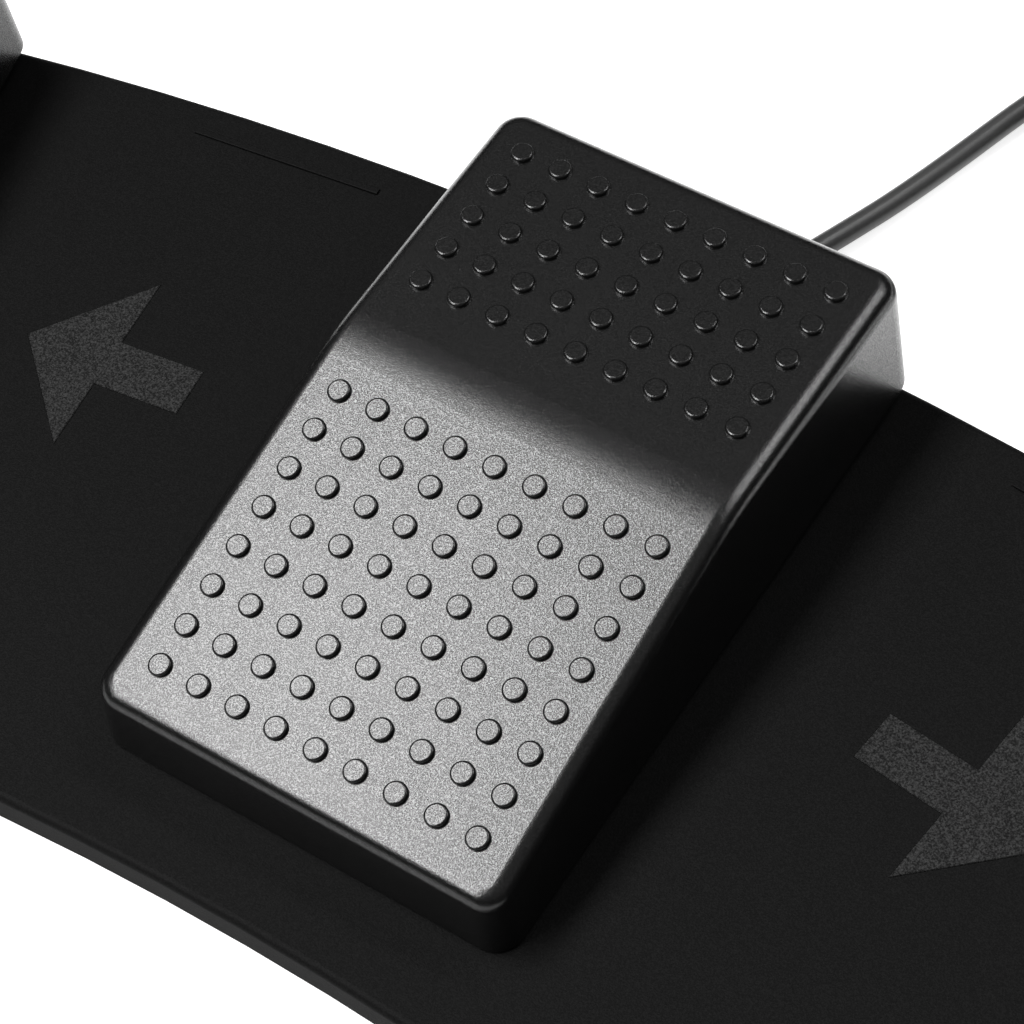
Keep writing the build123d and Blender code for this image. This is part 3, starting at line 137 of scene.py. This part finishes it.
first_radius, first_height = coil_stations()[0]
last_radius, last_height = coil_stations()[-1]
last_angle = COIL_ENTRY_ANGLE - 90 * (len(coil_stations()) - 1)
route = [RELIEF_TIP]
route += [RELIEF_TIP + Vector(step) for step in EXIT_STEPS]
route += [beside_coil(COIL_ENTRY_ANGLE, first_radius, along, first_height) for along in ENTRY_RUNS]
route += coil_points()
route += [beside_coil(last_angle, last_radius, along, last_height) for along in LEAVING_RUNS]
route += [RELIEF_TIP + Vector(step) for step in TAIL_STEPS]

cord_curve = bpy.data.curves.new("usb_lead", "CURVE")
cord_curve.dimensions = "3D"
cord_curve.bevel_depth = 1.0
cord_curve.bevel_resolution = 6
cord_curve.resolution_u = 8
cord_curve.use_fill_caps = True
spline = cord_curve.splines.new("NURBS")
spline.points.add(len(route) - 1)
for point, place in zip(spline.points, route):
    point.co = (*(place * MM), 1.0)
    point.radius = CORD_DIAMETER / 2
spline.order_u = 3
spline.use_endpoint_u = True
cord = bpy.data.objects.new("usb_lead", cord_curve)
bpy.context.scene.collection.objects.link(cord)
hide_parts("usb_cable", "usb_cable_coil", "usb_cable_tail")
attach(cord, "base")
run_lengths = [(there - here).length for here, there in zip(route, route[1:])]
print("cord points:", len(route), "length of the runs between them:", round(sum(run_lengths), 1))

# %% [markdown]
# ## Shared surface effects
# Each effect is a node group with named inputs and outputs, so that every material can set its own numbers.
# Patterns follow object coordinates, which are metres,
# so that a scale of 3000 makes grains of a third of a millimetre.


# %% Helpers for nodes
def new_group(name, inputs, outputs):
    """An empty shader node group with its sockets; gives the tree and its two end nodes."""
    tree = bpy.data.node_groups.new(name, "ShaderNodeTree")
    for label, kind, value in inputs:
        socket = tree.interface.new_socket(label, in_out="INPUT", socket_type=kind)
        socket.default_value = value
    for label, kind in outputs:
        tree.interface.new_socket(label, in_out="OUTPUT", socket_type=kind)
    return tree, tree.nodes.new("NodeGroupInput"), tree.nodes.new("NodeGroupOutput")


def put(tree, kind, values, **settings):
    """A node with its settings; each value is a constant for the socket, or a socket to link from."""
    node = tree.nodes.new(kind)
    for label, value in settings.items():
        setattr(node, label, value)
    for label, value in values.items():
        if isinstance(value, bpy.types.NodeSocket):
            tree.links.new(value, node.inputs[label])
        else:
            node.inputs[label].default_value = value
    return node


def maths(tree, operation, first, second):
    """The result socket of one sum, product, power or other operation on two values."""
    return put(tree, "ShaderNodeMath", {0: first, 1: second}, operation=operation).outputs[0]


def weighted_sum(tree, first, first_share, second, second_share):
    """Two values added, each at its share."""
    first = maths(tree, "MULTIPLY", first, first_share)
    second = maths(tree, "MULTIPLY", second, second_share)
    return maths(tree, "ADD", first, second)


def blend_colours(tree, factor, first, second):
    """The colour between two colours at a factor."""
    node = put(tree, "ShaderNodeMix", {0: factor, 6: first, 7: second}, data_type="RGBA")
    return node.outputs[2]


def noise(tree, place, scale, detail, roughness=0.5):
    """The value of a noise texture."""
    values = {"Vector": place, "Scale": scale, "Detail": detail, "Roughness": roughness}
    return put(tree, "ShaderNodeTexNoise", values).outputs["Fac"]


FLOAT = "NodeSocketFloat"
COLOUR = "NodeSocketColor"
VECTOR = "NodeSocketVector"
SURFACE_OUTPUTS = [("Color", COLOUR), ("Roughness", FLOAT), ("Height", FLOAT)]


# %% [markdown]
# The spark-eroded grain of moulded plastic: small rounded pits, with a slow change of sheen over the part.
# The flat tops between the pits are glossier, so that the grain glints where a light is mirrored.


# %% The grain of moulded plastic
PIT_SCALE_SHARE = 0.7
FACET_STARTS = 0.42
FACET_FULL = 0.64


def make_moulded_grain():
    tree, start, end = new_group(
        "moulded_grain",
        [
            ("Colour", COLOUR, (0.02, 0.02, 0.02, 1)),
            ("Fleck", COLOUR, (0.03, 0.03, 0.03, 1)),
            ("Grain", FLOAT, 3000.0),
            ("Roughness", FLOAT, 0.4),
            ("Spread", FLOAT, 0.1),
            ("Glint", FLOAT, 0.0),
        ],
        SURFACE_OUTPUTS + [("Coat", FLOAT)],
    )
    place = tree.nodes.new("ShaderNodeTexCoord").outputs["Object"]
    fine = noise(tree, place, scale=start.outputs["Grain"], detail=1.0, roughness=0.6)
    slow = noise(tree, place, scale=45.0, detail=3.0)
    pits = put(
        tree,
        "ShaderNodeTexVoronoi",
        {"Vector": place, "Scale": maths(tree, "MULTIPLY", start.outputs["Grain"], PIT_SCALE_SHARE)},
        feature="SMOOTH_F1",
    ).outputs["Distance"]
    height = weighted_sum(tree, fine, 0.8, pits, 0.2)
    sheen = weighted_sum(tree, slow, 0.5, fine, 0.5)
    drift = maths(tree, "MULTIPLY", maths(tree, "SUBTRACT", sheen, 0.5), start.outputs["Spread"])
    speck = maths(tree, "POWER", fine, 2.0)
    tree.links.new(
        blend_colours(tree, speck, start.outputs["Colour"], start.outputs["Fleck"]), end.inputs["Color"]
    )
    tree.links.new(maths(tree, "ADD", start.outputs["Roughness"], drift), end.inputs["Roughness"])
    tree.links.new(height, end.inputs["Height"])
    facets = put(
        tree,
        "ShaderNodeMapRange",
        {"Value": fine, "From Min": FACET_STARTS, "From Max": FACET_FULL, "To Max": start.outputs["Glint"]},
    ).outputs["Result"]
    tree.links.new(facets, end.inputs["Coat"])
    return tree


moulded_grain = make_moulded_grain()


# %% [markdown]
# Drawn and plated metal: fine lines along one direction, and a cloudy plating colour.


# %% The lines of drawn metal
def make_drawn_metal():
    tree, start, end = new_group(
        "drawn_metal",
        [
            ("Colour", COLOUR, (0.6, 0.6, 0.6, 1)),
            ("Tarnish", COLOUR, (0.4, 0.4, 0.4, 1)),
            ("Stretch", VECTOR, (1.0, 1.0, 1.0)),
            ("Roughness", FLOAT, 0.3),
        ],
        SURFACE_OUTPUTS,
    )
    place = tree.nodes.new("ShaderNodeTexCoord").outputs["Object"]
    drawn = put(
        tree, "ShaderNodeVectorMath", {0: place, 1: start.outputs["Stretch"]}, operation="MULTIPLY"
    ).outputs[0]
    lines = noise(tree, drawn, scale=900.0, detail=3.0)
    cloud = noise(tree, place, scale=140.0, detail=4.0)
    tree.links.new(
        blend_colours(tree, cloud, start.outputs["Colour"], start.outputs["Tarnish"]), end.inputs["Color"]
    )
    rough = weighted_sum(tree, lines, 0.25, cloud, 0.1)
    rough = maths(tree, "ADD", maths(tree, "SUBTRACT", rough, 0.17), start.outputs["Roughness"])
    tree.links.new(rough, end.inputs["Roughness"])
    tree.links.new(lines, end.inputs["Height"])
    return tree


drawn_metal = make_drawn_metal()


# %% [markdown]
# Rubber and soft PVC: a dull skin with dust-fine mottling and shallow flow marks.


# %% The skin of rubber
def make_soft_skin():
    tree, start, end = new_group(
        "soft_skin",
        [
            ("Colour", COLOUR, (0.02, 0.02, 0.02, 1)),
            ("Dust", COLOUR, (0.05, 0.05, 0.05, 1)),
            ("Grain", FLOAT, 1500.0),
            ("Roughness", FLOAT, 0.6),
        ],
        SURFACE_OUTPUTS,
    )
    place = tree.nodes.new("ShaderNodeTexCoord").outputs["Object"]
    fine = noise(tree, place, scale=start.outputs["Grain"], detail=3.0)
    flow = noise(tree, place, scale=120.0, detail=2.0)
    dusty = maths(tree, "MULTIPLY", maths(tree, "POWER", fine, 3.0), 0.8)
    tree.links.new(
        blend_colours(tree, dusty, start.outputs["Colour"], start.outputs["Dust"]), end.inputs["Color"]
    )
    rough = weighted_sum(tree, fine, 0.1, flow, 0.1)
    rough = maths(tree, "ADD", maths(tree, "SUBTRACT", rough, 0.1), start.outputs["Roughness"])
    tree.links.new(rough, end.inputs["Roughness"])
    tree.links.new(maths(tree, "ADD", fine, flow), end.inputs["Height"])
    return tree


soft_skin = make_soft_skin()


# %% [markdown]
# The lacquered board: raised copper tracks under the green mask, and bright spots where it is tinned.


# %% The tracks of a circuit board
TRACK_STARTS = 0.62
TIN_ENDS = 0.14


def make_board_tracks():
    tree, start, end = new_group(
        "board_tracks",
        [
            ("Mask", COLOUR, (0.01, 0.12, 0.05, 1)),
            ("Track", COLOUR, (0.03, 0.25, 0.1, 1)),
            ("Tin", COLOUR, (0.6, 0.6, 0.58, 1)),
            ("Pitch", FLOAT, 420.0),
        ],
        SURFACE_OUTPUTS,
    )
    place = tree.nodes.new("ShaderNodeTexCoord").outputs["Object"]
    cells = put(
        tree,
        "ShaderNodeTexVoronoi",
        {"Vector": place, "Scale": start.outputs["Pitch"]},
        feature="F1",
        distance="MANHATTAN",
    )
    edge = maths(tree, "GREATER_THAN", cells.outputs["Distance"], TRACK_STARTS)
    spot = maths(tree, "LESS_THAN", cells.outputs["Distance"], TIN_ENDS)
    base = blend_colours(tree, edge, start.outputs["Mask"], start.outputs["Track"])
    tree.links.new(blend_colours(tree, spot, base, start.outputs["Tin"]), end.inputs["Color"])
    fine = noise(tree, place, scale=800.0, detail=2.0)
    rough = maths(tree, "ADD", maths(tree, "MULTIPLY", fine, 0.2), 0.15)
    tree.links.new(rough, end.inputs["Roughness"])
    tree.links.new(maths(tree, "ADD", edge, spot), end.inputs["Height"])
    return tree


board_tracks = make_board_tracks()
print("node groups:", sorted(group.name for group in bpy.data.node_groups))

# %% [markdown]
# ## Materials
# One material for each slot of the record, made of one effect with its numbers, a bump and the main shader.


# %% Make the materials
METAL_BUMP = 0.00002


def surface(name, effect, values, bump_depth, **shader):
    """A material whose colour, roughness and bump come from one effect."""
    material = bpy.data.materials.new(name)
    material.use_nodes = True
    tree = material.node_tree
    main = tree.nodes["Principled BSDF"]
    group = tree.nodes.new("ShaderNodeGroup")
    group.node_tree = effect
    for label, value in values.items():
        group.inputs[label].default_value = value
    bump = tree.nodes.new("ShaderNodeBump")
    bump.inputs["Strength"].default_value = 1.0
    bump.inputs["Distance"].default_value = bump_depth
    tree.links.new(group.outputs["Height"], bump.inputs["Height"])
    tree.links.new(group.outputs["Color"], main.inputs["Base Color"])
    tree.links.new(group.outputs["Roughness"], main.inputs["Roughness"])
    tree.links.new(bump.outputs["Normal"], main.inputs["Normal"])
    if "Coat" in group.outputs:
        tree.links.new(group.outputs["Coat"], main.inputs["Coat Weight"])
        main.inputs["Coat Roughness"].default_value = values["Roughness"]
    for label, value in shader.items():
        main.inputs[label.replace("_", " ")].default_value = value
    material.diffuse_color = (*list(values.values())[0][:3], 1)
    return material


def grey(value, tint=0.0):
    """A grey, a little bluer with a tint."""
    return (value * (1 - tint), value * (1 - tint / 2), value, 1)


def moulded(name, colour, fleck, grain, roughness, spread, bump_depth, glint=0.0, **shader):
    """Moulded plastic, whose grain can glint."""
    values = {
        "Colour": colour,
        "Fleck": fleck,
        "Grain": grain,
        "Roughness": roughness,
        "Spread": spread,
        "Glint": glint,
    }
    return surface(name, moulded_grain, values, bump_depth, **shader)


def metal(name, colour, tarnish, stretch, roughness):
    """Drawn, plated metal."""
    values = {"Colour": colour, "Tarnish": tarnish, "Stretch": stretch, "Roughness": roughness}
    return surface(name, drawn_metal, values, METAL_BUMP, Metallic=1.0)


def soft(name, colour, dust, grain, roughness, bump_depth):
    """Rubber or soft PVC."""
    values = {"Colour": colour, "Dust": dust, "Grain": grain, "Roughness": roughness}
    return surface(name, soft_skin, values, bump_depth)


materials = {
    "base_shell": moulded(
        "base_shell",
        grey(0.0025),
        grey(0.010),
        grain=4200.0,
        roughness=0.58,
        spread=0.08,
        bump_depth=0.00006,
        glint=0.055,
        Specular_IOR_Level=0.08,
    ),
    "base_plate": moulded(
        "base_plate", grey(0.010), grey(0.014), grain=2600.0, roughness=0.45, spread=0.10, bump_depth=0.00002
    ),
    "mark": moulded(
        "mark",
        grey(0.0),
        grey(0.065),
        grain=3600.0,
        roughness=0.5,
        spread=0.06,
        bump_depth=0.00009,
        glint=0.4,
        Specular_IOR_Level=0.09,
    ),
    "pedal_cover": moulded(
        "pedal_cover",
        grey(0.003),
        grey(0.014),
        grain=4800.0,
        roughness=0.23,
        spread=0.08,
        bump_depth=0.00004,
        glint=0.9,
    ),
    "tray": moulded(
        "tray", grey(0.010), grey(0.014), grain=2600.0, roughness=0.5, spread=0.10, bump_depth=0.00002
    ),
    "rubber": soft("rubber", grey(0.020), grey(0.045), grain=1400.0, roughness=0.75, bump_depth=0.00004),
    "steel": metal("steel", grey(0.62, 0.03), grey(0.42), stretch=(0.06, 1.0, 1.0), roughness=0.30),
    "spring_steel": metal(
        "spring_steel", grey(0.50, 0.04), grey(0.30), stretch=(1.0, 1.0, 0.1), roughness=0.28
    ),
    "switch_body": moulded(
        "switch_body",
        grey(0.045, 0.08),
        grey(0.07),
        grain=2200.0,
        roughness=0.5,
        spread=0.12,
        bump_depth=0.00002,
    ),
    "switch_plunger": moulded(
        "switch_plunger",
        (0.55, 0.03, 0.025, 1),
        (0.62, 0.05, 0.04, 1),
        grain=2600.0,
        roughness=0.3,
        spread=0.08,
        bump_depth=0.00001,
    ),
    "terminal": metal(
        "terminal", (0.75, 0.70, 0.58, 1), (0.5, 0.44, 0.34, 1), stretch=(1.0, 0.1, 1.0), roughness=0.32
    ),
    "board": surface(
        "board",
        board_tracks,
        {"Mask": (0.008, 0.10, 0.04, 1), "Track": (0.02, 0.2, 0.08, 1)},
        bump_depth=0.00003,
    ),
    "chip": moulded(
        "chip", grey(0.018), grey(0.035), grain=5200.0, roughness=0.45, spread=0.12, bump_depth=0.00001
    ),
    "header": moulded(
        "header",
        (0.74, 0.70, 0.60, 1),
        (0.80, 0.77, 0.70, 1),
        grain=2400.0,
        roughness=0.42,
        spread=0.08,
        bump_depth=0.00001,
    ),
    "inner_lead": soft("inner_lead", grey(0.06), grey(0.10), grain=1600.0, roughness=0.5, bump_depth=0.00002),
    "cable": soft("cable", grey(0.046), grey(0.075), grain=1600.0, roughness=0.34, bump_depth=0.00002),
    "overmould": soft(
        "overmould", grey(0.010), grey(0.022), grain=1800.0, roughness=0.46, bump_depth=0.00004
    ),
    "plug_shell": metal("plug_shell", grey(0.74, 0.02), grey(0.60), stretch=(1.0, 0.05, 1.0), roughness=0.18),
    "plug_tongue": moulded(
        "plug_tongue", grey(0.02), grey(0.04), grain=3000.0, roughness=0.4, spread=0.1, bump_depth=0.00001
    ),
    "plug_contact": metal(
        "plug_contact", (0.95, 0.70, 0.28, 1), (0.80, 0.55, 0.2, 1), stretch=(1.0, 0.1, 1.0), roughness=0.22
    ),
}
print("materials:", len(materials))

# %% [markdown]
# Each CAD node keeps its mesh and takes the finished material of its slot.

# %% Dress the nodes
for name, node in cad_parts.items():
    for slot in node.material_slots:
        kind = slot.material.name.split(".")[0]
        slot.material = materials[kind]
cord_curve.materials.append(materials["cable"])
print("dressed:", len(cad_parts), "nodes")

# %% [markdown]
# ## The studio
# A white floor, a room with a grey ceiling, and two soft lights.


# %% Floor and room
FLOOR_HALF_SIZE = 4.0
FLOOR_DROP = 0.0001
FLOOR_WHITE = 0.86
FLOOR_ROUGHNESS = 0.9
FLOOR_SPECULAR = 0.1
FLOOR_GLOW = 0.8
BACK_STARTS = 0.05
BACK_ENDS = 0.12
CEILING = 0.15
WALLS = 0.012
WALL_TOP = 0.35
CEILING_EDGE = 0.65


def make_floor():
    """A wide white floor that looks brighter to the camera, so that it goes white and keeps its shadows.

    Behind the part it is mirrored as white, like a lit backdrop.
    """
    mesh = bpy.data.meshes.new("floor")
    turns = ((-1, -1), (1, -1), (1, 1), (-1, 1))
    corners = [(x * FLOOR_HALF_SIZE, y * FLOOR_HALF_SIZE, 0) for x, y in turns]
    mesh.from_pydata(corners, [], [(0, 1, 2, 3)])
    floor = bpy.data.objects.new("floor", mesh)
    floor.location.z = -FLOOR_DROP
    bpy.context.scene.collection.objects.link(floor)
    material = bpy.data.materials.new("floor_white")
    material.use_nodes = True
    tree = material.node_tree
    main = tree.nodes["Principled BSDF"]
    main.inputs["Base Color"].default_value = grey(FLOOR_WHITE)
    main.inputs["Roughness"].default_value = FLOOR_ROUGHNESS
    main.inputs["Specular IOR Level"].default_value = FLOOR_SPECULAR
    path = tree.nodes.new("ShaderNodeLightPath")
    place = put(
        tree, "ShaderNodeSeparateXYZ", {0: tree.nodes.new("ShaderNodeTexCoord").outputs["Object"]}
    ).outputs["Y"]
    behind = put(
        tree, "ShaderNodeMapRange", {"Value": place, "From Min": BACK_STARTS, "From Max": BACK_ENDS}
    ).outputs["Result"]
    mirrored = maths(tree, "MULTIPLY", behind, path.outputs["Is Glossy Ray"])
    glow = blend_colours(tree, path.outputs["Is Camera Ray"], grey(0.0), grey(FLOOR_GLOW))
    glow = blend_colours(tree, mirrored, glow, grey(1.0))
    tree.links.new(glow, main.inputs["Emission Color"])
    main.inputs["Emission Strength"].default_value = 1.0
    mesh.materials.append(material)


def make_room(ceiling, walls):
    """A room with a grey ceiling and darker walls that the camera itself sees as white."""
    world = bpy.data.worlds.new("room")
    world.use_nodes = True
    bpy.context.scene.world = world
    tree = world.node_tree
    seen = tree.nodes.new("ShaderNodeLightPath").outputs["Is Camera Ray"]
    way = put(
        tree, "ShaderNodeSeparateXYZ", {0: tree.nodes.new("ShaderNodeTexCoord").outputs["Generated"]}
    ).outputs["Z"]
    high = put(
        tree, "ShaderNodeMapRange", {"Value": way, "From Min": WALL_TOP, "From Max": CEILING_EDGE}
    ).outputs["Result"]
    shade = blend_colours(tree, high, grey(walls), grey(ceiling))
    shade = blend_colours(tree, seen, shade, grey(1.0))
    tree.links.new(shade, tree.nodes["Background"].inputs["Color"])
    tree.nodes["Background"].inputs["Strength"].default_value = 1.0


make_floor()
make_room(CEILING, WALLS)


# %% [markdown]
# Each light is a level rectangle.
# The large one hangs over the front left, so that the front slopes mirror it and the rear slopes don't.
# It also throws the soft shadow to the right of each pedal.
# The narrow one behind the right end lies in the rounded right edges of the pedals.


# %% Lights
DOWN = (0, 0, -1)


def soft_light(name, place, towards, width, length, power):
    """A rectangular light at a place that shines along a direction, its width level."""
    data = bpy.data.lights.new(name, "AREA")
    data.shape = "RECTANGLE"
    data.size = width
    data.size_y = length
    data.energy = power
    light = bpy.data.objects.new(name, data)
    bpy.context.scene.collection.objects.link(light)
    turn = (-Vector(towards)).to_track_quat("Z", "Y").to_matrix().to_4x4()
    light.matrix_world = Matrix.Translation(place) @ turn
    return light


soft_light("overhead", (-1.93, -1.93, 4.0), DOWN, width=1.38, length=5.14, power=300.0)
soft_light("rear_right", (0.85, 1.275, 2.0), DOWN, width=1.7, length=0.35, power=19.0)
